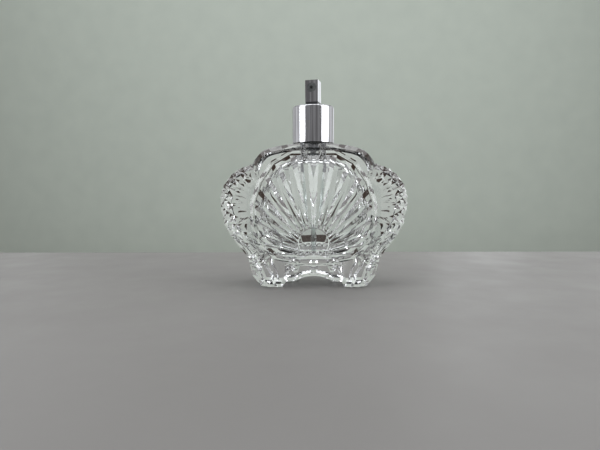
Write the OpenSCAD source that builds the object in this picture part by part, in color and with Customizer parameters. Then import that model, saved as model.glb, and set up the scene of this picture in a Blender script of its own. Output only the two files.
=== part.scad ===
// Scallop-shell crystal perfume atomiser: a footed glass bottle with scroll wings and a
// screw-on fine-mist pump. Millimetres, +Z up, the front of the shell faces -Y, and the
// origin is under the middle of the bottle on the plane that its feet stand on.

/* [Bottle] */
// Depth through the fluted medallions, front to back
body_d = 35; // [33:0.5:38]
// Depth of the scroll wings and the feet
wing_d = 26; // [24:0.5:28]
// Radius of the round top of each scroll wing
wing_r = 18.2; // [17.6:0.1:18.6]
// Distance from the middle of the bottle to the centre of each wing
wing_x = 26.3; // [25.8:0.1:27.2]
// Number of grooves in each fan
flutes = 21; // [15:2:25]
// Depth of a groove where it meets the frame
flute_depth = 1.6; // [0.8:0.1:2.4]
// Radius of the plain disc that the flutes run out from
hub_r = 8.8; // [6:0.2:9]

/* [Neck] */
// Radius of the bore that the pump goes into
neck_bore_r = 6.1; // [6.0:0.05:6.2]
// Outer radius of the ground neck
neck_r = 7.6; // [7.5:0.05:7.65]
// Height of the neck's top
neck_top = 76; // [76:0.5:77]

/* [Closure] */
// Outer radius of the chrome collar
collar_r = 10; // [9.95:0.05:10.5]
// Height of the collar's bottom edge
collar_bottom = 68; // [67.8:0.1:68.4]
// Height of the collar's flat top
collar_top = 85.2; // [85:0.1:85.4]
// Rise of the screw thread for each turn
thread_pitch = 2; // [1.9:0.05:2.2]
// Turns of engaged thread
thread_turns = 2.25; // [1.5:0.25:2.25]

/* [Pump] */
// Radius of the bore that the piston slides in
pump_bore_r = 3; // [2.9:0.05:3.1]
// Full travel of the actuator
stroke = 4.5; // [3.5:0.5:4.5]
// Outer radius of the dip tube
tube_r = 1.3; // [1.2:0.05:1.35]

/* [Actuator] */
// Side of the square chrome post
post_w = 6.2; // [6:0.1:6.4]
// Height of the post's flat top
post_top = 97.5; // [97:0.1:99]
// Turn of the spray direction, away from straight ahead
post_turn = -14; // [-40:1:40]

/* [Hidden] */
$fn = 48;
mesh_fn = 32;
eps = 0.01;

// Bottle
medallion_z = 37;
medallion_a = 29;
medallion_b = 27;
face_inset = 2.4;
fan_z = 35.8;
fan_r = 24.8;
fan_vertex_z = 15;
fan_span = 200;
bar_share = 0.4;
hub_z = 21.5;
wing_z = 40;
wing_bevel = 3;
leg_r = 8;
leg_x = 24.5;
leg_z = 18;
shoulder_d = 22;
shoulder_z = 67;
skirt_d = 24;
skirt_z = 2.7;
arch_r = 17;
arch_top = 5.3;
cavity_z = 37.2;
cavity_a = 25;
cavity_b = 22.5;
cavity_d = 18;
cavity_corner = 2.4;
neck_root = 55;

// Neck ring and closure
cement_gap = 0.25;
ring_wall = 0.4;
thread_depth = 0.5;
ring_bottom = 68.3;
ring_root_r = neck_r + cement_gap + ring_wall;
ring_top = neck_top - 0.4;
thread_z = ring_bottom + 1.5;
thread_land = 0.7;
thread_foot = 1.3;
thread_gap = 0.12;
sink = 0.15;
shell_wall = 0.45;
shell_edge = 1;
liner_r = collar_r - shell_wall;
liner_bore_r = ring_root_r + thread_depth + 0.12;
liner_shelf_bore_r = 5;

// Pump
gasket_h = 1;
gasket_r = 7.5;
plug_r = 5.6;
plug_bottom = 64.7;
housing_r = 4.1;
housing_bottom = 60;
nipple_r = 2.1;
nipple_bottom = 55;
flange_z = neck_top + gasket_h;
flange_h = 1.2;
flange_top = flange_z + flange_h;
spring_seat_z = 63.2;
ball_r = 1.2;
ball_chamber_r = 1.45;
ball_bead_r = 1.1;
inlet_r = 0.7;
inlet_z = 60.4;
ball_z = inlet_z + ball_r * sqrt(2) - inlet_r + 0.02;
turret_h = 1;
turret_top = flange_top + 2.2;
stem_r = 1.5;
stem_bore_r = 0.55;
stem_top = 90;
slide_gap = 0.05;
plug_z = 72.2;
plug_h = 0.8;
piston_z = plug_z + plug_h + 0.02;
piston_h = 3.3;
spring_r = 2.3;
spring_wire_r = 0.22;
spring_coils = 6;
spring_sides = 8;
spring_steps = 20;
tube_bottom = 16.4;
tube_bore_r = 0.8;

// Actuator
core_bottom = turret_top + stroke + 0.5;
post_bottom = core_bottom + 1.9;
post_wall = 0.4;
post_hole_r = 4.75;
nozzle_r = 2.2;
nozzle_z = post_top - 3.4;
nozzle_seat = 0.6;
nozzle_dish_r = 0.8;
swirl_pin_r = 1.1;
swirl_pin_h = 1.2;
feed_r = 0.3;
feed_up = 1.5;

// Draws an outline given in the X-Z plane and gives it a depth along Y.
module upright(depth) {
    rotate([90, 0, 0]) linear_extrude(height = depth, center = true) children();
}

// A tube or ring between two heights.
module tube(outer, inner, bottom, top) {
    difference() {
        translate([0, 0, bottom]) cylinder(r = outer, h = top - bottom);
        translate([0, 0, bottom - eps]) cylinder(r = inner, h = top - bottom + 2 * eps);
    }
}

function ellipse(a, b, z) = [for (i = [0:35]) [a * cos(i * 10), z + b * sin(i * 10)]];

// How far from the fan's vertex its round edge is, in the direction a.
function fan_reach(a) = (fan_z - fan_vertex_z) * sin(a)
    + sqrt(pow(fan_r, 2) - pow((fan_z - fan_vertex_z) * cos(a), 2));

// The space over the fan: flat bars with V grooves between them which widen and deepen outwards.
module fan_cutter() {
    steps = 3 * flutes - 1;
    pitch = fan_span / flutes;
    front = -body_d / 2;
    angles = [for (i = [0:steps]) 90 - fan_span / 2
        + pitch * (floor((i + 1) / 3) + [-bar_share / 2, bar_share / 2, 0.5][(i + 1) % 3])];
    depths = [for (i = [0:steps]) front + (i % 3 == 1 ? flute_depth : 0.1)];
    rim = [for (a = angles) [fan_reach(a) * cos(a), fan_vertex_z + fan_reach(a) * sin(a)]];
    inner = [for (i = [0:steps]) [rim[i][0], depths[i], rim[i][1]]];
    outer = [for (i = [0:steps]) [rim[i][0], front - 1, rim[i][1]]];
    points = concat(inner, outer, [[0, front + 0.1, fan_vertex_z], [0, front - 1, fan_vertex_z]]);
    back_point = 2 * steps + 2;
    front_point = back_point + 1;
    far = steps + 1;
    faces = concat(
        [for (i = [0:steps - 1]) [back_point, i, i + 1]],
        [for (i = [0:steps - 1]) [front_point, far + i + 1, far + i]],
        [for (i = [0:steps - 1]) [i, far + i + 1, i + 1]],
        [for (i = [0:steps - 1]) [i, far + i, far + i + 1]],
        [[back_point, far, 0], [back_point, front_point, far]],
        [[back_point, steps, far + steps], [back_point, far + steps, front_point]]);
    polyhedron(points = points, faces = faces);
}

module medallion() {
    hull() {
        upright(body_d) polygon(ellipse(medallion_a - face_inset, medallion_b - face_inset, medallion_z));
        upright(body_d - 2 * face_inset) polygon(ellipse(medallion_a, medallion_b, medallion_z));
    }
}

module shoulder() {
    hull() {
        upright(shoulder_d) polygon([[-24, 50], [-24, 60], [-19, 63.5], [-9, 65.5],
            [9, 65.5], [19, 63.5], [24, 60], [24, 50]]);
        upright(shoulder_d - 8) polygon([[-28.5, 50], [-28.5, 58], [-24.6, 63], [-20.7, 65],
            [-9, shoulder_z], [9, shoulder_z], [20.7, 65], [24.6, 63], [28.5, 58], [28.5, 50]]);
    }
}

module wing() {
    hull() {
        translate([wing_x, 0, wing_z]) rotate([90, 0, 0])
            cylinder(r = wing_r - wing_bevel, h = wing_d, center = true, $fn = mesh_fn);
        translate([wing_x, 0, wing_z]) rotate([90, 0, 0])
            cylinder(r = wing_r, h = wing_d - 2 * wing_bevel, center = true, $fn = mesh_fn);
        translate([leg_x, 0, leg_z]) rotate([90, 0, 0])
            cylinder(r = leg_r, h = wing_d - 2 * wing_bevel, center = true, $fn = mesh_fn);
    }
}

module foot() {
    hull() {
        upright(wing_d - 4) polygon([[14.5, 0], [21, 0], [26.5, 2], [29.8, 6],
            [31, 14], [27, 24], [13, 24], [12.5, 4]]);
        upright(wing_d) polygon([[16, 4], [26, 5], [28, 14], [25, 22], [15, 22]]);
    }
}

module skirt() {
    difference() {
        upright(skirt_d) polygon([[-16, 24], [-16, skirt_z], [16, skirt_z], [16, 24]]);
        translate([0, 0, arch_top - arch_r]) rotate([90, 0, 0])
            cylinder(r = arch_r, h = skirt_d + 2, center = true);
    }
}

module cavity() {
    hull() {
        upright(cavity_d) polygon(ellipse(cavity_a - cavity_corner, cavity_b - cavity_corner, cavity_z));
        upright(cavity_d - 2 * cavity_corner) polygon(ellipse(cavity_a, cavity_b, cavity_z));
    }
    translate([0, 0, neck_root]) cylinder(r = neck_bore_r, h = neck_top - neck_root + 1);
}

module bottle() {
    color("LightCyan", 0.5)
    difference() {
        union() {
            difference() {
                medallion();
                fan_cutter();
                mirror([0, 1, 0]) fan_cutter();
            }
            shoulder();
            skirt();
            for (side = [0, 1]) mirror([side, 0, 0]) {
                wing();
                foot();
            }
            translate([0, 0, hub_z]) rotate([90, 0, 0]) cylinder(r = hub_r, h = body_d, center = true);
            translate([0, 0, neck_root]) cylinder(r = neck_r, h = neck_top - neck_root);
        }
        cavity();
    }
}

// A trapezoid rib wound into a right-hand helix, its foot sunk into the wall that carries it.
module helix_rib(foot_r, tip_r, foot_h, tip_h, start_z) {
    steps = ceil(thread_turns * 24);
    points = [for (i = [0:steps]) let (
        a = 360 * thread_turns * i / steps,
        z = start_z + thread_pitch * thread_turns * i / steps)
        each [for (p = [[foot_r, -foot_h], [tip_r, -tip_h], [tip_r, tip_h], [foot_r, foot_h]])
            [p[0] * cos(a), p[0] * sin(a), z + p[1] / 2]]];
    sides = [for (i = [0:steps - 1], k = [0:3]) let (n = (k + 1) % 4)
        each [[4 * i + k, 4 * i + 4 + n, 4 * i + 4 + k], [4 * i + k, 4 * i + n, 4 * i + 4 + n]]];
    last = 4 * steps;
    faces = concat(sides, [[0, 2, 1], [0, 3, 2]], [[last, last + 1, last + 2], [last, last + 2, last + 3]]);
    polyhedron(points = points, faces = foot_r < tip_r ? faces : [for (f = faces) [f[0], f[2], f[1]]]);
}

module neck_ring() {
    color("Gainsboro")
    union() {
        tube(ring_root_r, neck_r + cement_gap, ring_bottom, ring_top);
        tube(ring_root_r + thread_depth, ring_root_r - sink, ring_bottom, ring_bottom + 0.6);
        helix_rib(ring_root_r - sink, ring_root_r + thread_depth, thread_foot, thread_land, thread_z);
    }
}

module ring_cement() {
    color("WhiteSmoke") tube(neck_r + cement_gap, neck_r, ring_bottom, ring_top);
}

module neck_gasket() {
    color("DimGray")
    union() {
        tube(plug_r, housing_r, plug_bottom, flange_z);
        tube(gasket_r, plug_r - sink, neck_top, flange_z);
    }
}

module pump_housing() {
    color("DarkSlateGray")
    rotate_extrude() polygon([
        [tube_r, nipple_bottom], [nipple_r, nipple_bottom], [nipple_r, housing_bottom],
        [housing_r, housing_bottom + 0.6], [housing_r, flange_z], [gasket_r, flange_z],
        [gasket_r, flange_top], [pump_bore_r + 0.7, flange_top], [pump_bore_r + 0.7, flange_z],
        [pump_bore_r, flange_z], [pump_bore_r, spring_seat_z], [ball_bead_r, spring_seat_z],
        [ball_bead_r, spring_seat_z - 0.2], [ball_chamber_r, spring_seat_z - 0.5],
        [ball_chamber_r, inlet_z + ball_chamber_r - inlet_r], [inlet_r, inlet_z],
        [inlet_r, housing_bottom - 0.2], [tube_r, housing_bottom - 0.2]]);
}

module turret() {
    color("DarkSlateGray")
    union() {
        tube(gasket_r, stem_r + slide_gap + 0.05, flange_top, flange_top + turret_h);
        tube(pump_bore_r + 0.8, stem_r + slide_gap + 0.05, flange_top + turret_h - sink, turret_top);
    }
}

module stem_gasket() {
    color("Black") tube(pump_bore_r + 0.65, stem_r + slide_gap, flange_z, flange_top - 0.02);
}

module dip_tube() {
    color("White", 0.6)
    difference() {
        tube(tube_r, tube_bore_r, tube_bottom, housing_bottom - 0.2);
        translate([0, 0, tube_bottom]) rotate([0, 35, 0]) translate([0, 0, -2])
            cube([12, 12, 4 - 0.9], center = true);
    }
}

module return_spring() {
    height = plug_z - spring_seat_z - 2 * spring_wire_r - 0.04;
    steps = spring_coils * spring_steps;
    base = spring_seat_z + spring_wire_r + 0.02;
    points = [for (i = [0:steps]) let (a = 360 * spring_coils * i / steps, z = base + height * i / steps)
        each [for (k = [0:spring_sides - 1]) let (
            b = 360 * k / spring_sides, r = spring_r + spring_wire_r * cos(b))
            [r * cos(a), r * sin(a), z + spring_wire_r * sin(b)]]];
    sides = [for (i = [0:steps - 1], k = [0:spring_sides - 1]) let (
        n = (k + 1) % spring_sides, low = spring_sides * i, high = low + spring_sides)
        each [[low + k, high + n, high + k], [low + k, low + n, high + n]]];
    last = spring_sides * steps;
    ends = [for (k = [1:spring_sides - 2]) each [[0, k + 1, k], [last, last + k, last + k + 1]]];
    color("Silver") polyhedron(points = points, faces = concat(sides, ends));
}

module valve_ball() {
    color("Silver") translate([0, 0, ball_z]) sphere(r = ball_r);
}

module stem() {
    color("Ivory")
    difference() {
        translate([0, 0, plug_z + plug_h]) cylinder(r = stem_r, h = stem_top - plug_z - plug_h);
        translate([0, 0, plug_z + plug_h - eps]) cylinder(r = stem_bore_r, h = stem_top - plug_z);
        translate([0, 0, plug_z + plug_h + 0.7]) rotate([90, 0, 0]) cylinder(r = 0.3, h = 8, center = true);
    }
}

module stem_plug() {
    color("Ivory")
    union() {
        translate([0, 0, plug_z]) cylinder(r = 2.5, h = plug_h - eps);
        translate([0, 0, plug_z + plug_h - sink]) cylinder(r = stem_bore_r - 0.02, h = 0.5 + sink);
    }
}

module piston() {
    r = pump_bore_r - slide_gap;
    color("WhiteSmoke")
    translate([0, 0, piston_z]) rotate_extrude() polygon([
        [stem_r + slide_gap, 0.2], [stem_r + 0.35, 0], [2.1, 0], [2.3, 0.9], [r - 0.3, 0], [r, 0], [r, 0.6],
        [r - 0.35, 1.2], [r - 0.35, 2.3], [r, 2.8], [r, piston_h], [r - 0.4, piston_h], [2.2, 2.5],
        [1.9, piston_h - 0.4], [stem_r + slide_gap, piston_h - 0.4]]);
}

module closure_liner() {
    shelf = flange_top + turret_h + 0.02;
    color("DarkSlateGray")
    union() {
        tube(liner_r, liner_bore_r, collar_bottom + 0.5, collar_top - 0.65);
        tube(liner_r - sink, liner_shelf_bore_r, shelf, shelf + 1.2);
        helix_rib(liner_bore_r + sink, ring_root_r + thread_gap, thread_foot - 2 * thread_gap,
            thread_land - 2 * thread_gap, thread_z + thread_pitch / 2);
    }
}

module collar_shell() {
    color("LightGray")
    rotate_extrude() union() {
        difference() {
            translate([0, collar_bottom]) square([collar_r, collar_top - collar_bottom]);
            translate([-1, collar_bottom - 1])
                square([liner_r + 1, collar_top - collar_bottom - 0.6 + 1]);
            translate([-1, collar_bottom]) square([post_hole_r + 1, collar_top]);
            translate([collar_r - shell_edge, collar_top - shell_edge]) difference() {
                square(shell_edge + 1);
                circle(r = shell_edge);
            }
        }
    }
}

// Places a shape made around the Z axis at the nozzle, pointing along the spray.
module along_spray() {
    translate([0, 0, nozzle_z]) rotate([0, 0, post_turn]) rotate([90, 0, 0]) children();
}

module actuator_core() {
    core_w = post_w - 2 * post_wall - 0.04;
    color("Black")
    difference() {
        rotate([0, 0, post_turn]) union() {
            translate([-post_w / 2 + 0.1, -post_w / 2 + 0.1, core_bottom])
                cube([post_w - 0.2, post_w - 0.2, post_bottom - core_bottom]);
            translate([-core_w / 2, -core_w / 2, post_bottom - sink])
                cube([core_w, core_w, post_top - post_wall - post_bottom + sink - 0.04]);
        }
        translate([0, 0, core_bottom - eps]) cylinder(r = stem_r + 0.03, h = stem_top - core_bottom + eps);
        translate([0, 0, stem_top - eps]) cylinder(r = stem_bore_r, h = nozzle_z + feed_up + 0.3 - stem_top);
        along_spray() difference() {
            translate([0, 0, nozzle_seat]) cylinder(r = nozzle_r + 0.03, h = post_w);
            translate([0, 0, nozzle_seat - eps]) cylinder(r = swirl_pin_r, h = swirl_pin_h);
        }
        along_spray() translate([0, feed_up, 0]) cylinder(r = feed_r, h = nozzle_seat + eps);
    }
}

module actuator_shell() {
    color("LightGray")
    difference() {
        rotate([0, 0, post_turn]) difference() {
            translate([-post_w / 2, -post_w / 2, post_bottom])
                cube([post_w, post_w, post_top - post_bottom]);
            translate([-post_w / 2 + post_wall, -post_w / 2 + post_wall, post_bottom - 1])
                cube([post_w - 2 * post_wall, post_w - 2 * post_wall, post_top - post_bottom + 1 - post_wall]);
        }
        along_spray() translate([0, 0, nozzle_seat]) cylinder(r = nozzle_r + 0.03, h = post_w);
    }
}

module nozzle_insert() {
    color("DarkSlateGray")
    along_spray() difference() {
        translate([0, 0, nozzle_seat + 0.02]) cylinder(r = nozzle_r, h = post_w / 2 - nozzle_seat - 0.02);
        translate([0, 0, nozzle_seat]) cylinder(r = swirl_pin_r + 0.03, h = swirl_pin_h);
        cylinder(r = feed_r, h = post_w);
        translate([0, 0, post_w / 2 - 0.5]) cylinder(r = nozzle_dish_r, h = 1);
    }
}

bottle();
neck_ring();
ring_cement();
neck_gasket();
pump_housing();
turret();
stem_gasket();
dip_tube();
return_spring();
valve_ball();
stem();
stem_plug();
piston();
closure_liner();
collar_shell();
actuator_core();
actuator_shell();
nozzle_insert();
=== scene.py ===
import math

import bmesh
import bpy
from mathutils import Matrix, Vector


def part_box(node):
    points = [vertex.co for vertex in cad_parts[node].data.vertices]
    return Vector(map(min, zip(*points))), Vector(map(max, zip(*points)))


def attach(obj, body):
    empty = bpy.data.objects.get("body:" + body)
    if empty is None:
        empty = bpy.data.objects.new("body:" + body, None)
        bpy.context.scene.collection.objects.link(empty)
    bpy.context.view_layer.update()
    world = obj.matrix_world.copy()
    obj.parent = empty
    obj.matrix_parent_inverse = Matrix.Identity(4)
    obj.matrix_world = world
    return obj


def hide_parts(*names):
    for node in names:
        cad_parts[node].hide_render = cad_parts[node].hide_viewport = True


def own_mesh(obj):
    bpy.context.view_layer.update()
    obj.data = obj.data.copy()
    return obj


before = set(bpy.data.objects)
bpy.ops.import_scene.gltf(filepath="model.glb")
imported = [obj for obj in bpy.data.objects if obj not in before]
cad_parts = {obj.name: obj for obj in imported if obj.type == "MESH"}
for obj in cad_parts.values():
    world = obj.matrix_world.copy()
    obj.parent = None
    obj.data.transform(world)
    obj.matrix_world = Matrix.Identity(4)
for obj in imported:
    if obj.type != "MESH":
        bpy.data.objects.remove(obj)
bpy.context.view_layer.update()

# The glass, the spring and the stage are drawn in millimetres in the frame's axes and scaled to
# metres when they become meshes. Lights and the camera are in metres. +Z is up, the front of the
# shell faces -Y, and outlines are (x, z) pairs.
MM = 0.001
BOTTLE_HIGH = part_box("bottle")[1] / MM
HALF_W = BOTTLE_HIGH.x
HALF_D = BOTTLE_HIGH.y
NECK_TOP = BOTTLE_HIGH.z

# Shell
FRAME_BEVEL = 1.5
FRAME_RISE = 0.9
FRAME_LAND = 0.8
FLUTES = 21
FLUTE_LIFT = 0.2
BAR_W = 2.15
# The most of a groove's step that half a bar may take
BAR_SHARE = 0.32
# Depth of the grooves at the hub and at the frame, for the fan's sides and for its top
GROOVE_SIDE = (0.6, 1.1)
GROOVE_TOP = (0.8, 1.38)
FAN_INNER_R = 8.5
FAN_SPAN = math.radians(204)
FAN_VERTEX = Vector((0, 16))
HUB_R = 8.8
HUB_Z = 21.5
HUB_BEVEL = 2.2
HUB_RISE = 0.9
BEADS_EACH_SIDE = 3
BEAD_R = 1.3
BEAD_PITCH = 2.9
BEAD_Z = 16.9
BEAD_GROOVE_W = 3.2
BEAD_GROOVE_END = 12

# Skirt
SKIRT_HALF_D = 11.4
ARCH_R = 17
ARCH_TOP = 5.3
PETAL_X = (-8.6, 0, 8.6)
PETAL_Z = 10.2
PETAL_DEPTH = 3.2
RAY_ANGLES = (-36, -24, 204, 216)
RAY_ENDS = (11, 21)

# Wings and legs
WING_R = 18.2
WING_C = Vector((HALF_W - WING_R, 40))
WING_SAMPLES = 22
# How far each row of the wing lies in from its rim, and how far out from the middle plane
WING_ROWS = [(14.0, 12.2), (10.0, 12.6), (6.2, 12.8), (2.8, 12.0), (0.6, 9.6), (0, 5.7), (0, 1.9)]
WING_FACE = 12.9
DIAMOND_DEPTH = 0.6
DIAMOND_FROM, DIAMOND_TO = 1, 19
LEG_HALF_D = 13.6
# How far the strap stands out from the leg
STRAP_LIFT = 1.6

# Hollow and neck
NECK_R = 7.6
BORE_R = 6.1
BORE_FOOT = 54
CAVITY_HALF_D = 9.0
CAVITY_INSET = 3.8
CAVITY_CORNER = 2.4
CORNER_STEPS = 8

SHARP_ANGLE = math.radians(14)

# Stage
FLOOR_NEAR, FLOOR_FAR, FLOOR_SIDE, FLOOR_THICK = -1500, 122, 1500, 30
WALL_Y, WALL_SIDE, WALL_FOOT, WALL_TOP = 700, 850, -64, 440
BACKDROP_Y, BACKDROP_SIDE, BACKDROP_FOOT, BACKDROP_TOP = 699, 5000, -900, 4000
# The point that the lights face, in metres
AIM = Vector((0, 0, 0.08))


def mirrored(half):
    """A closed outline from its right half, listed from the top middle down."""
    return half + [(-x, z) for x, z in reversed(half) if abs(x) > 1e-6]


def arc(centre, radius, start, stop, count):
    """Points on an arc, angles in degrees from +X towards +Z."""
    angles = [math.radians(start + (stop - start) * i / (count - 1)) for i in range(count)]
    return [(centre[0] + radius * math.cos(a), centre[1] + radius * math.sin(a)) for a in angles]


def resampled(path, count):
    """The same open path with evenly spaced points."""
    path = [Vector(p) for p in path]
    ends = [0]
    for a, b in zip(path, path[1:]):
        ends.append(ends[-1] + (b - a).length)
    points, k = [], 0
    for i in range(count):
        at = ends[-1] * i / (count - 1)
        while k < len(path) - 2 and at > ends[k + 1]:
            k += 1
        points.append(tuple(path[k].lerp(path[k + 1], (at - ends[k]) / (ends[k + 1] - ends[k]))))
    return points


def rounded(outline):
    """The same closed outline with every corner cut back to a quarter of its sides."""
    points = [Vector(p) for p in outline]
    following = points[1:] + points[:1]
    return [tuple(a.lerp(b, t)) for a, b in zip(points, following) for t in (0.25, 0.75)]


def inset(outline, distance):
    """Moves every side of a clockwise outline inwards by the same distance."""
    moved = []
    count = len(outline)
    for i in range(count):
        before, here, after = (Vector(outline[(i + k) % count]) for k in (-1, 0, 1))
        a = (here - before).normalized()
        b = (after - here).normalized()
        inward_a, inward_b = Vector((a.y, -a.x)), Vector((b.y, -b.x))
        bisector = (inward_a + inward_b).normalized()
        moved.append(tuple(here + bisector * distance / max(0.3, bisector.dot(inward_a))))
    return moved


def make_object(name, points, faces):
    """A mesh object from points in millimetres."""
    mesh = bpy.data.meshes.new(name)
    mesh.from_pydata([Vector(p) * MM for p in points], [], faces)
    solid = bmesh.new()
    solid.from_mesh(mesh)
    bmesh.ops.recalc_face_normals(solid, faces=solid.faces)
    solid.to_mesh(mesh)
    solid.free()
    obj = bpy.data.objects.new(name, mesh)
    bpy.context.scene.collection.objects.link(obj)
    return obj


def loft(name, levels, pits=lambda level, i: 0):
    """A closed solid through outlines at several depths, each (y, outline). Where pits gives a
    depth, alternate points sink by it, and the facets between them become a field of diamonds."""
    count = len(levels[0][1])
    centre = sum((Vector(p) for p in levels[0][1]), Vector((0, 0))) / count
    points = []
    for level, (y, outline) in enumerate(levels):
        for i, (x, z) in enumerate(outline):
            depth = pits(level, i) if (level + i) % 2 else 0
            inward = (Vector((centre.x, 0, centre.y)) - Vector((x, y, z))).normalized()
            points.append(Vector((x, y, z)) + inward * depth)
    faces = [tuple(range(count)), tuple(range(len(points) - count, len(points)))]
    for level in range(len(levels) - 1):
        for i in range(count):
            j = (i + 1) % count
            low, high = level * count, (level + 1) * count
            a, b, c, d = low + i, low + j, high + j, high + i
            if not (pits(level, i) or pits(level, j) or pits(level + 1, i) or pits(level + 1, j)):
                faces.append((a, b, c, d))
            elif (level + i) % 2:
                faces += [(a, b, c), (a, c, d)]
            else:
                faces += [(a, b, d), (b, c, d)]
    return make_object(name, points, faces)


def bevelled(name, outline, half_d, bevel, rise):
    """A solid with the outline's sides and both of its faces bevelled."""
    face = inset(outline, bevel)
    return loft(name, [(-half_d, face), (rise - half_d, outline), (half_d - rise, outline),
                       (half_d, face)])


def turned(name, profile, steps=96):
    """A closed solid of revolution round Z from (radius, z) pairs that start and end on the axis."""
    ring = profile[1:-1]
    points = [(0, 0, profile[0][1]), (0, 0, profile[-1][1])]
    for r, z in ring:
        points += [(r * math.cos(math.tau * i / steps), r * math.sin(math.tau * i / steps), z)
                   for i in range(steps)]
    faces = []
    for i in range(steps):
        j = (i + 1) % steps
        faces.append((0, 2 + i, 2 + j))
        last = 2 + (len(ring) - 1) * steps
        faces.append((1, last + j, last + i))
        for k in range(len(ring) - 1):
            low = 2 + k * steps
            faces.append((low + i, low + j, low + steps + j, low + steps + i))
    return make_object(name, points, faces)


def carve(obj, tool, operation="DIFFERENCE"):
    """Applies a boolean of tool on obj and removes the tool."""
    modifier = obj.modifiers.new(operation, "BOOLEAN")
    modifier.operation = operation
    modifier.solver = "MANIFOLD"
    modifier.object = tool
    graph = bpy.context.evaluated_depsgraph_get()
    mesh = bpy.data.meshes.new_from_object(obj.evaluated_get(graph))
    obj.modifiers.clear()
    obj.data = mesh
    bpy.data.objects.remove(tool)
    return obj


def flipped(obj, axis):
    """A copy of an object mirrored across the plane through the origin that is square to an axis."""
    copy = obj.copy()
    copy.data = obj.data.copy()
    bpy.context.scene.collection.objects.link(copy)
    for vertex in copy.data.vertices:
        vertex.co[axis] *= -1
    copy.data.flip_normals()
    return copy


def groove(start, end, outward, width, depth, steps=1):
    """A V cutter on the line from start to end. With more steps it swells in the middle and
    its ends run out to points, as a wheel cuts."""
    start, end, outward = Vector(start), Vector(end), Vector(outward).normalized()
    along = (end - start).normalized()
    outward = (outward - along * outward.dot(along)).normalized()
    side = along.cross(outward)
    clear = 0.6
    points = []
    for i in range(steps + 1):
        t = i / steps
        deep = depth if steps == 1 else depth * (1 - (2 * t - 1) ** 2) - 0.02
        middle = start.lerp(end, t)
        half = width / 2 * (deep + clear) / depth
        points += [middle - outward * deep, middle + outward * clear + side * half,
                   middle + outward * clear - side * half]
    faces = [(0, 1, 2), tuple(3 * steps + k for k in (0, 1, 2))]
    for i in range(steps):
        for k in range(3):
            n = (k + 1) % 3
            faces.append((3 * i + k, 3 * i + n, 3 * i + 3 + n, 3 * i + 3 + k))
    return make_object("groove", points, faces)


def reach(outline, origin, angle):
    """How far a ray from origin runs before it leaves the outline."""
    ray = Vector((math.cos(angle), math.sin(angle)))
    best = 0
    for i, a in enumerate(outline):
        a, b = Vector(a), Vector(outline[(i + 1) % len(outline)])
        edge = b - a
        cross = ray.x * edge.y - ray.y * edge.x
        if abs(cross) < 1e-9:
            continue
        gap = a - origin
        t = (gap.x * edge.y - gap.y * edge.x) / cross
        s = (gap.x * ray.y - gap.y * ray.x) / cross
        if t > 0 and -1e-6 <= s <= 1 + 1e-6:
            best = max(best, t)
    return best


FRAME_OUTLINE = mirrored([(10.8, 63.4), (19.4, 58.4), (25.4, 49.6), (28.8, 39.5),
                          (28.8, 30), (25, 20.2), (17.6, 13.8), (7.5, 11)])


def fan_cutter():
    """One solid whose floor is the fan, for the front face: flat bars of even width with V
    grooves between them that widen and deepen outwards and are deepest at the top."""
    fan = inset(FRAME_OUTLINE, FRAME_BEVEL + FRAME_LAND)
    face = -HALF_D
    step = FAN_SPAN / FLUTES
    start = (math.pi - FAN_SPAN) / 2
    rings = [[], []]
    for i in range(FLUTES + 1):
        for sign, sink in ((-1, 0), (1, 0), (0, 1)):
            for ring, points in enumerate(rings):
                middle = start + step * i
                r = reach(fan, FAN_VERTEX, middle) if ring else FAN_INNER_R
                half = min(BAR_W / 2 / r, BAR_SHARE * step)
                angle = middle + (step / 2 if sink else half * sign)
                r = reach(fan, FAN_VERTEX, angle) if ring else FAN_INNER_R
                side, top = GROOVE_SIDE[ring], GROOVE_TOP[ring]
                depth = side + (top - side) * math.sin(angle) ** 2 if sink else FLUTE_LIFT
                points.append((FAN_VERTEX.x + r * math.cos(angle), face + depth,
                               FAN_VERTEX.y + r * math.sin(angle)))
    rings = [ring[1:-2] for ring in rings]
    count = len(rings[0])
    floor = rings[0] + rings[1]
    outside = face - 1
    points = floor + [(x, outside, z) for x, _, z in floor]
    points += [(FAN_VERTEX.x, y, FAN_VERTEX.y) for y in (face + FLUTE_LIFT, outside)]
    lid = len(floor)
    back, front = 2 * lid, 2 * lid + 1
    faces = []
    for i in range(count - 1):
        j = i + 1
        faces += [(i, j, count + j, count + i),
                  (lid + i, lid + count + i, lid + count + j, lid + j),
                  (back, j, i), (front, lid + i, lid + j),
                  (count + i, count + j, lid + count + j, lid + count + i)]
    last = count - 1
    faces += [(back, 0, count, lid + count, lid, front),
              (back, front, lid + last, lid + count + last, count + last, last)]
    return make_object("fan", points, faces)


def shell():
    """The medallion with a bevelled frame and a fluted fan with its hub, front and back."""
    body = bevelled("shell", FRAME_OUTLINE, HALF_D, FRAME_BEVEL, FRAME_RISE)
    front = fan_cutter()
    carve(body, flipped(front, 1))
    carve(body, front)
    hub = arc((0, HUB_Z), HUB_R, 360, 7.5, 48)
    return carve(body, bevelled("hub", hub, HALF_D, HUB_BEVEL, HUB_RISE), "UNION")


def beads(body):
    """The row of beads in a groove across the foot of the hub, front and back."""
    ball = [(0, -BEAD_R)] + arc((0, 0), BEAD_R, -60, 60, 5) + [(0, BEAD_R)]
    for face in (-1, 1):
        y = face * HALF_D
        ends = ((end, y, BEAD_Z) for end in (-BEAD_GROOVE_END, BEAD_GROOVE_END))
        carve(body, groove(*ends, (0, face, 0), width=BEAD_GROOVE_W, depth=BEAD_R, steps=6))
        for k in range(-BEADS_EACH_SIDE, BEADS_EACH_SIDE + 1):
            bead = turned("bead", ball, steps=16)
            for vertex in bead.data.vertices:
                vertex.co += Vector((BEAD_PITCH * k, y - face * BEAD_R, BEAD_Z)) * MM
            carve(body, bead, "UNION")
    return body


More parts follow.
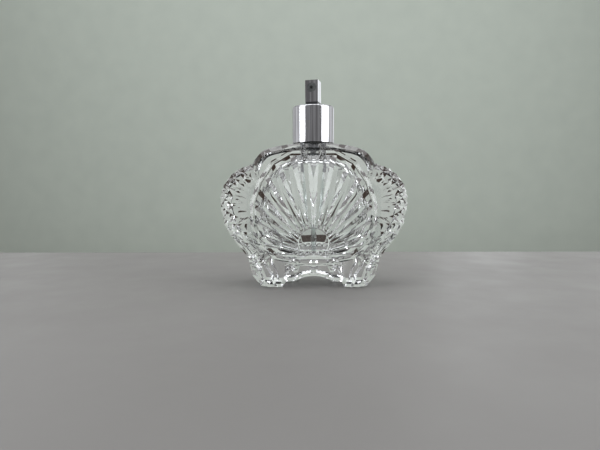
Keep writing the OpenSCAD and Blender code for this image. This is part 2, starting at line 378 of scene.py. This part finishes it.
def shoulder():
    """The hump that carries the neck, with polished facets down to the wings."""
    rim = mirrored([(8.8, 67.2), (20.7, 65.2), (25.0, 62.8), (28.6, 57.8), (29.5, 50), (20, 30)])
    return bevelled("shoulder", rounded(rounded(rim)), half_d=12.5, bevel=2.2, rise=3)


def skirt():
    """The web between the legs, arched along its lower edge, with petals under the hub."""
    arch = arc((0, ARCH_TOP - ARCH_R), ARCH_R, 90, 58, 9)
    outline = mirrored([(0, 26), (18, 26), (18, 22), (17, 6), (13.5, 2.6)] + arch[::-1])
    body = bevelled("skirt", outline, SKIRT_HALF_D, bevel=0.7, rise=0.9)
    profile = [(0, -6), (2.4, -5.2), (3.7, -3), (4.2, 0), (3.7, 3), (2.4, 5.2), (0, 6)]
    for x in PETAL_X:
        petal = turned("petal", profile, steps=24)
        for vertex in petal.data.vertices:
            co = vertex.co
            vertex.co = Vector((co.x + x * MM, co.y * PETAL_DEPTH, co.z + PETAL_Z * MM))
        carve(body, petal, "UNION")
    for face in (-1, 1):
        y = face * SKIRT_HALF_D
        for angle in RAY_ANGLES:
            a = math.radians(angle)
            ends = ((r * math.cos(a), y, FAN_VERTEX.y + r * math.sin(a)) for r in RAY_ENDS)
            carve(body, groove(*ends, (0, face, 0), width=1.0, depth=0.6, steps=6))
    return body


def wing():
    """The right scroll wing. Its rim and the outer part of both its faces are cut in diamonds."""
    rim = arc(WING_C, WING_R, 99, -18, 14)
    rim += [(42.7, 29.4), (40.7, 25), (38, 22.3), (34.6, 18.7), (31.4, 14.6), (29.9, 11.4), (29.4, 8)]
    outline = [(17, 55)] + resampled(rim, WING_SAMPLES) + [(17, 8)]
    rows = [(-y, d) for d, y in WING_ROWS] + [(y, d) for d, y in reversed(WING_ROWS)]

    def pits(level, i):
        """How deep the diamonds are cut: shallow at the edge of their field, full inside it."""
        if not DIAMOND_FROM <= i <= DIAMOND_TO or level in (0, len(rows) - 1):
            return 0
        edge = min(i - DIAMOND_FROM, DIAMOND_TO - i, level, len(rows) - 1 - level)
        return DIAMOND_DEPTH * min(1, 0.45 + edge / 5)

    return loft("wing", [(y, inset(outline, d)) for y, d in rows], pits)


def wing_lines(body):
    """The parallel mitred lines where the wing's face meets the leg, front and back."""
    for face in (-1, 1):
        y = face * WING_FACE
        for k in range(3):
            shift = 1.5 * k
            bend = Vector((32.4 + 0.6 * shift, y, 25.2 - shift))
            upper = (36.2 + 0.4 * shift, y, 31.2 - shift)
            lower = (24.6 + 0.8 * shift, y, 20.2 - shift)
            for end in (upper, lower):
                carve(body, groove(bend, end, (0, face, 0), width=1.1, depth=0.6))
    return body


def leg():
    """The right foot and the leg that runs down to it from the wing."""
    outline = [(16, 26), (27, 25), (30.8, 13.6), (29.6, 9), (28.9, 5.6), (26.4, 2.4), (21.5, 0),
               (14.6, 0), (12.7, 3.2), (12.4, 9)]
    body = bevelled("leg", outline, LEG_HALF_D - STRAP_LIFT, bevel=1.8, rise=1.6)
    band = [(37.6, 23.6), (35.6, 20.6), (32.6, 17), (28.8, 11.4), (26.4, 5.4), (24.6, 0.9),
            (17.2, 0.4), (18.6, 6.4), (22.4, 12.6), (29.6, 20.6)]
    strap = bevelled("strap", band, LEG_HALF_D, bevel=1.3, rise=1.0)
    for face in (-1, 1):
        for k in range(3):
            t = k / 2
            inner = Vector((26.4 - 3.6 * t, face * LEG_HALF_D, 17.2 - 4.8 * t))
            outer = Vector((32.4 - 2.6 * t, face * LEG_HALF_D, 13.2 - 4.4 * t))
            carve(strap, groove(inner, outer, (0, face, 0), width=2.0, depth=0.55))
    carve(body, strap, "UNION")
    for face in (-1, 1):
        y = face * (LEG_HALF_D - 1.5)
        upper, lower = (29.6, y, 12.6), (27.0, y, 4.2)
        carve(body, groove(upper, lower, (0, face, 0), width=3.4, depth=1.5, steps=6))
    return body


def scroll_side():
    """A finished wing with its leg."""
    side = wing_lines(wing())
    return carve(side, leg(), "UNION")


def hollow():
    """The perfume space, with the neck's bore."""
    outline = inset(FRAME_OUTLINE, CAVITY_INSET)
    levels = []
    for i in range(-CORNER_STEPS, CORNER_STEPS + 1):
        a = math.radians(90 / CORNER_STEPS * i)
        y = math.copysign(CAVITY_HALF_D - CAVITY_CORNER + CAVITY_CORNER * abs(math.sin(a)), a)
        levels.append((y, inset(outline, CAVITY_CORNER * (1 - math.cos(a)))))
    space = loft("hollow", levels)
    top = NECK_TOP + 1
    bore = turned("bore", [(0, BORE_FOOT), (BORE_R, BORE_FOOT), (BORE_R, top), (0, top)])
    return carve(space, bore, "UNION")


def neck():
    """The round neck, flared where it meets the shoulder."""
    return turned("neck", [(0, 55), (NECK_R + 2.2, 55), (NECK_R + 2.0, 66.6), (NECK_R + 0.6, 67.5),
                           (NECK_R, 68.2), (NECK_R, NECK_TOP - 0.3), (NECK_R - 0.3, NECK_TOP),
                           (0, NECK_TOP)])


def crystal():
    """The whole glass as one closed mesh."""
    body = beads(shell())
    carve(body, shoulder(), "UNION")
    carve(body, skirt(), "UNION")
    right = scroll_side()
    carve(body, flipped(right, 0), "UNION")
    carve(body, right, "UNION")
    carve(body, neck(), "UNION")
    carve(body, hollow())
    body.name = body.data.name = "crystal_bottle"
    body.data.polygons.foreach_set("use_smooth", [True] * len(body.data.polygons))
    body.data.set_sharp_from_angle(angle=SHARP_ANGLE)
    return body


def coil(turns=6, steps=32, sides=10):
    """The return spring at rest, with a closed turn at each end."""
    low, high = (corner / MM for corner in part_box("return_spring"))
    wire = 0.22
    radius, rise, closed = high.x - wire, high.z - low.z - 2 * wire, 2.1 * wire
    points = []
    for i in range(turns * steps + 1):
        t = i / steps
        if t < 1:
            z = closed * t
        elif t > turns - 1:
            z = rise - closed * (turns - t)
        else:
            z = closed + (rise - 2 * closed) * (t - 1) / (turns - 2)
        for k in range(sides):
            b = math.tau * k / sides
            r = radius + wire * math.cos(b)
            points.append((r * math.cos(math.tau * t), r * math.sin(math.tau * t),
                           low.z + wire + z + wire * math.sin(b)))
    faces = [tuple(range(sides)), tuple(range(len(points) - sides, len(points)))]
    for i in range(turns * steps):
        for k in range(sides):
            n = (k + 1) % sides
            faces.append((sides * i + k, sides * i + n, sides * (i + 1) + n, sides * (i + 1) + k))
    spring = make_object("return_spring_coil", points, faces)
    spring.data.polygons.foreach_set("use_smooth", [True] * len(faces))
    return spring


class Look:
    """A material with its shader, and short ways to add the nodes that vary it."""

    def __init__(self, name, **inputs):
        self.material = bpy.data.materials.new(name)
        self.material.use_nodes = True
        self.tree = self.material.node_tree
        self.shader = self.tree.nodes["Principled BSDF"]
        for label, value in inputs.items():
            self.shader.inputs[label.replace("_", " ")].default_value = value

    def noise(self, scale, detail=3, stretch=(1, 1, 1)):
        """Noise in the object's own coordinates, with scale in waves per metre."""
        coordinates = self.tree.nodes.new("ShaderNodeTexCoord")
        size = self.tree.nodes.new("ShaderNodeMapping")
        size.inputs["Scale"].default_value = stretch
        texture = self.tree.nodes.new("ShaderNodeTexNoise")
        texture.inputs["Scale"].default_value = scale
        texture.inputs["Detail"].default_value = detail
        self.tree.links.new(coordinates.outputs["Object"], size.inputs["Vector"])
        self.tree.links.new(size.outputs["Vector"], texture.inputs["Vector"])
        return texture.outputs["Fac"]

    def colours(self, factor, stops, label="Base Color"):
        """Runs a factor through a colour ramp into one of the shader's colours."""
        ramp = self.tree.nodes.new("ShaderNodeValToRGB")
        while len(ramp.color_ramp.elements) < len(stops):
            ramp.color_ramp.elements.new(0.5)
        for element, (at, colour) in zip(ramp.color_ramp.elements, stops):
            element.position = at
            element.color = (*colour, 1)
        self.tree.links.new(factor, ramp.inputs["Fac"])
        self.tree.links.new(ramp.outputs["Color"], self.shader.inputs[label])

    def ramp(self, factor, low, high, start=0.3, stop=0.7, label="Roughness"):
        """Maps a factor to a range of one of the shader's values."""
        span = self.tree.nodes.new("ShaderNodeMapRange")
        span.inputs["From Min"].default_value = start
        span.inputs["From Max"].default_value = stop
        span.inputs["To Min"].default_value = low
        span.inputs["To Max"].default_value = high
        self.tree.links.new(factor, span.inputs["Value"])
        self.tree.links.new(span.outputs["Result"], self.shader.inputs[label])

    def bump(self, factor, height, strength=1):
        """Raises the surface by a factor, with height in metres."""
        node = self.tree.nodes.new("ShaderNodeBump")
        node.inputs["Strength"].default_value = strength
        node.inputs["Distance"].default_value = height
        self.tree.links.new(factor, node.inputs["Height"])
        self.tree.links.new(node.outputs["Normal"], self.shader.inputs["Normal"])


def crystal_glass():
    look = Look("crystal_glass", IOR=1.54, Transmission_Weight=1.0)
    look.colours(look.noise(45), [(0.3, (0.975, 0.99, 0.985)), (0.7, (0.995, 1.0, 1.0))])
    look.ramp(look.noise(260, detail=6), 0.0, 0.035, start=0.55, stop=0.8)
    look.bump(look.noise(140, detail=1), 0.00003, strength=0.5)
    return look.material


def chrome_plate():
    look = Look("chrome_plate", Metallic=1.0, Specular_Tint=(0.72, 0.72, 0.74, 1))
    look.colours(look.noise(900, detail=2, stretch=(1, 1, 0.03)),
                 [(0.38, (0.44, 0.43, 0.44)), (0.62, (0.82, 0.82, 0.84))])
    look.ramp(look.noise(700, detail=6, stretch=(1, 1, 0.08)), 0.07, 0.16)
    look.bump(look.noise(600, stretch=(1, 1, 0.03)), 0.00003)
    return look.material


def worn_plate():
    look = Look("worn_plate", Metallic=1.0)
    look.colours(look.noise(400, detail=5), [(0.35, (0.42, 0.41, 0.39)), (0.65, (0.66, 0.66, 0.64))])
    look.ramp(look.noise(900, detail=5), 0.25, 0.45)
    look.bump(look.noise(3000), 0.00001, strength=0.3)
    return look.material


def moulded(name, dark, light, rough, bump_height=0.000012):
    """A moulded plastic or rubber with faint mottling and a fine eroded mould texture."""
    look = Look(name, Specular_IOR_Level=0.5)
    look.colours(look.noise(300, detail=4), [(0.35, dark), (0.65, light)])
    look.ramp(look.noise(800, detail=4), *rough)
    look.bump(look.noise(6000, detail=2), bump_height, strength=0.4)
    return look.material


def clear_tubing():
    look = Look("clear_tubing", IOR=1.2, Transmission_Weight=0.97)
    look.colours(look.noise(200, stretch=(1, 1, 0.1)),
                 [(0.3, (0.86, 0.9, 0.9)), (0.7, (0.95, 0.97, 0.97))])
    look.ramp(look.noise(900), 0.08, 0.2)
    look.bump(look.noise(1500, detail=2, stretch=(1, 1, 0.05)), 0.00001, strength=0.3)
    return look.material


def steel(name, rough):
    """Bright steel with faint mottling."""
    look = Look(name, Metallic=1.0)
    look.colours(look.noise(700, detail=4), [(0.35, (0.5, 0.5, 0.49)), (0.65, (0.66, 0.66, 0.65))])
    look.ramp(look.noise(2500, detail=4), *rough)
    look.bump(look.noise(9000, detail=2), 0.000003, strength=0.3)
    return look.material


def paint(name, dark, light, rough, scale):
    """A painted surface with faint mottling, with scale in waves per metre."""
    look = Look(name)
    look.colours(look.noise(scale, detail=5), [(0.3, dark), (0.7, light)])
    look.ramp(look.noise(scale * 4, detail=4), *rough)
    look.bump(look.noise(scale * 12), 0.00015, strength=0.15)
    return look.material


def dress(node_names, material):
    """Gives CAD nodes a finished material in place of the flat one."""
    for name in node_names:
        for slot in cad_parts[name].material_slots:
            slot.material = material


def finishes():
    """The carried-over CAD nodes' materials."""
    dress(["collar_shell", "actuator_shell"], chrome_plate())
    dress(["neck_ring"], worn_plate())
    dress(["ring_cement"],
          moulded("plaster", (0.72, 0.7, 0.64), (0.85, 0.83, 0.78), (0.8, 0.95), 0.00003))
    dress(["neck_gasket", "stem_gasket"],
          moulded("gasket_rubber", (0.018, 0.018, 0.02), (0.035, 0.035, 0.037), (0.5, 0.7)))
    dress(["pump_housing", "turret", "closure_liner"],
          moulded("dark_moulding", (0.04, 0.044, 0.047), (0.065, 0.07, 0.075), (0.28, 0.42)))
    # The actuator core is black moulding; its near-black band under the shell is also painted shade
    # for the gap where the shell meets the collar.
    dress(["actuator_core"],
          moulded("black_moulding_and_gap_shade", (0.012, 0.012, 0.013), (0.024, 0.024, 0.026), (0.3, 0.45)))
    dress(["nozzle_insert"],
          moulded("nozzle_moulding", (0.07, 0.074, 0.074), (0.12, 0.126, 0.126), (0.22, 0.36)))
    dress(["stem", "stem_plug", "piston"],
          moulded("pale_moulding", (0.78, 0.78, 0.72), (0.88, 0.88, 0.84), (0.25, 0.4)))
    dress(["dip_tube"], clear_tubing())
    dress(["valve_ball"], steel("ball_steel", (0.06, 0.14)))


def slab(name, material):
    """The floor's block, with its top at the height that the feet stand on."""
    corners = [(x, y, z) for z in (0, -FLOOR_THICK) for y in (FLOOR_NEAR, FLOOR_FAR)
               for x in (-FLOOR_SIDE, FLOOR_SIDE)]
    obj = make_object(name, corners, [(0, 1, 3, 2), (4, 5, 7, 6), (0, 1, 5, 4), (1, 3, 7, 5),
                                      (3, 2, 6, 7), (2, 0, 4, 6)])
    obj.data.materials.append(material)
    return obj


def upright(name, y, half_width, low, high, material):
    """A flat upright surface across the back of the scene."""
    corners = [(-half_width, low), (half_width, low), (half_width, high), (-half_width, high)]
    obj = make_object(name, [(x, y, z) for x, z in corners], [(0, 1, 2, 3)])
    obj.data.materials.append(material)
    return obj


def stage():
    """The floor ends behind the bottle, as the table does in the photo. The glass sees the wall and
    the dark gap below it. The camera sees the backdrop in their place, and from the front it sees
    none of the backdrop's edges."""
    floor = slab("floor", paint("floor_paint", (0.215, 0.205, 0.195), (0.235, 0.225, 0.215),
                                (0.45, 0.6), 9))
    wall = upright("wall", WALL_Y, WALL_SIDE, WALL_FOOT, WALL_TOP,
                   paint("pale_paint", (0.83, 0.87, 0.8), (0.87, 0.91, 0.84), (0.7, 0.9), 30))
    wall.visible_camera = False
    backdrop = upright("backdrop", BACKDROP_Y, BACKDROP_SIDE, BACKDROP_FOOT, BACKDROP_TOP,
                       paint("wall_paint", (0.61, 0.67, 0.59), (0.645, 0.705, 0.62), (0.7, 0.9), 30))
    backdrop.visible_transmission = backdrop.visible_glossy = backdrop.visible_diffuse = False
    backdrop.visible_shadow = False
    return wall, backdrop


def area_light(name, bearing, distance, height, size, power, through_glass=True, spared=()):
    """A soft box aimed at the collar, in metres and watts. Its bearing is in degrees from the front
    towards +X. It lights the scene, apart from the spared surfaces. It shows in reflections and,
    where through_glass is set, through the glass, but not to the camera."""
    light = bpy.data.lights.new(name, "AREA")
    light.shape = "RECTANGLE"
    light.size, light.size_y = size
    light.energy = power
    light.color = (0.95, 0.975, 1.0)
    obj = bpy.data.objects.new(name, light)
    bpy.context.scene.collection.objects.link(obj)
    a = math.radians(bearing)
    position = Vector((distance * math.sin(a), -distance * math.cos(a), height))
    obj.location = position
    obj.rotation_euler = (AIM - position).to_track_quat("-Z", "Y").to_euler()
    obj.visible_camera = False
    obj.visible_transmission = through_glass
    if spared:
        unlit = bpy.data.collections.new(name + "_spares")
        for surface in spared:
            unlit.objects.link(surface)
        for member in unlit.collection_objects:
            member.light_linking.link_state = "EXCLUDE"
        obj.light_linking.receiver_collection = unlit


def lights(back):
    """Two soft boxes in front, one above, and three cards behind that spare the back surfaces."""
    area_light("left_box", bearing=-62, distance=0.6, height=0.24, size=(0.37, 0.5), power=2.2)
    area_light("right_box", bearing=69, distance=0.6, height=0.24, size=(0.5, 0.5), power=2.9)
    area_light("top_box", bearing=180, distance=0.1, height=0.9, size=(1.6, 1.1), power=7)
    area_light("left_card", bearing=-115, distance=0.75, height=0.2, size=(1.0, 0.7), power=0.9,
               through_glass=False, spared=back)
    area_light("right_card", bearing=122, distance=0.75, height=0.2, size=(0.8, 0.7), power=0.72,
               through_glass=False, spared=back)
    area_light("rim_card", bearing=151, distance=0.41, height=0.16, size=(0.1, 0.3), power=0.1,
               through_glass=False, spared=back)


def room():
    """The world: dark below the horizon and grey above it, and one even colour to the camera."""
    world = bpy.data.worlds.new("room")
    bpy.context.scene.world = world
    world.use_nodes = True
    nodes, links = world.node_tree.nodes, world.node_tree.links
    direction = nodes.new("ShaderNodeTexCoord")
    split = nodes.new("ShaderNodeSeparateXYZ")
    span = nodes.new("ShaderNodeMapRange")
    span.inputs["From Min"].default_value = -1
    halves = nodes.new("ShaderNodeValToRGB")
    below, above = halves.color_ramp.elements
    below.position, above.position = 0.49, 0.51
    below.color = (0.035, 0.021, 0.015, 1)
    above.color = (0.2, 0.2, 0.205, 1)
    path = nodes.new("ShaderNodeLightPath")
    mix = nodes.new("ShaderNodeMix")
    mix.data_type = "RGBA"
    mix.inputs["B"].default_value = (0.29, 0.31, 0.28, 1)
    links.new(direction.outputs["Generated"], split.inputs["Vector"])
    links.new(split.outputs["Z"], span.inputs["Value"])
    links.new(span.outputs["Result"], halves.inputs["Fac"])
    links.new(halves.outputs["Color"], mix.inputs["A"])
    links.new(path.outputs["Is Camera Ray"], mix.inputs["Factor"])
    links.new(mix.outputs["Result"], nodes["Background"].inputs["Color"])


def camera():
    """The photograph's viewpoint: low and close in front, tipped slightly down."""
    data = bpy.data.cameras.new("camera")
    data.sensor_width = 36
    data.lens = 28.8
    data.clip_start = 0.01
    obj = bpy.data.objects.new("camera", data)
    bpy.context.scene.collection.objects.link(obj)
    obj.location = (0, -0.234, 0.0445)
    obj.rotation_euler = (math.radians(90 - 3.9), math.radians(0.3), math.radians(1.6))
    bpy.context.scene.camera = obj
    bpy.context.scene.view_settings.view_transform = "Standard"


def place(piece, body, node, material):
    """Puts a finished piece on its body in place of a CAD node."""
    piece.data.materials.clear()
    piece.data.materials.append(material)
    piece.data.polygons.foreach_set("material_index", [0] * len(piece.data.polygons))
    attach(piece, body)
    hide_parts(node)


def press_spring(spring):
    """Gives the spring a mesh of its own."""
    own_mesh(spring)


bottle = crystal()
place(bottle, "bottle", "bottle", crystal_glass())
spring = coil()
place(spring, "pump", "return_spring", steel("drawn_wire", (0.22, 0.38)))
press_spring(spring)
finishes()

lights(stage())
room()
camera()
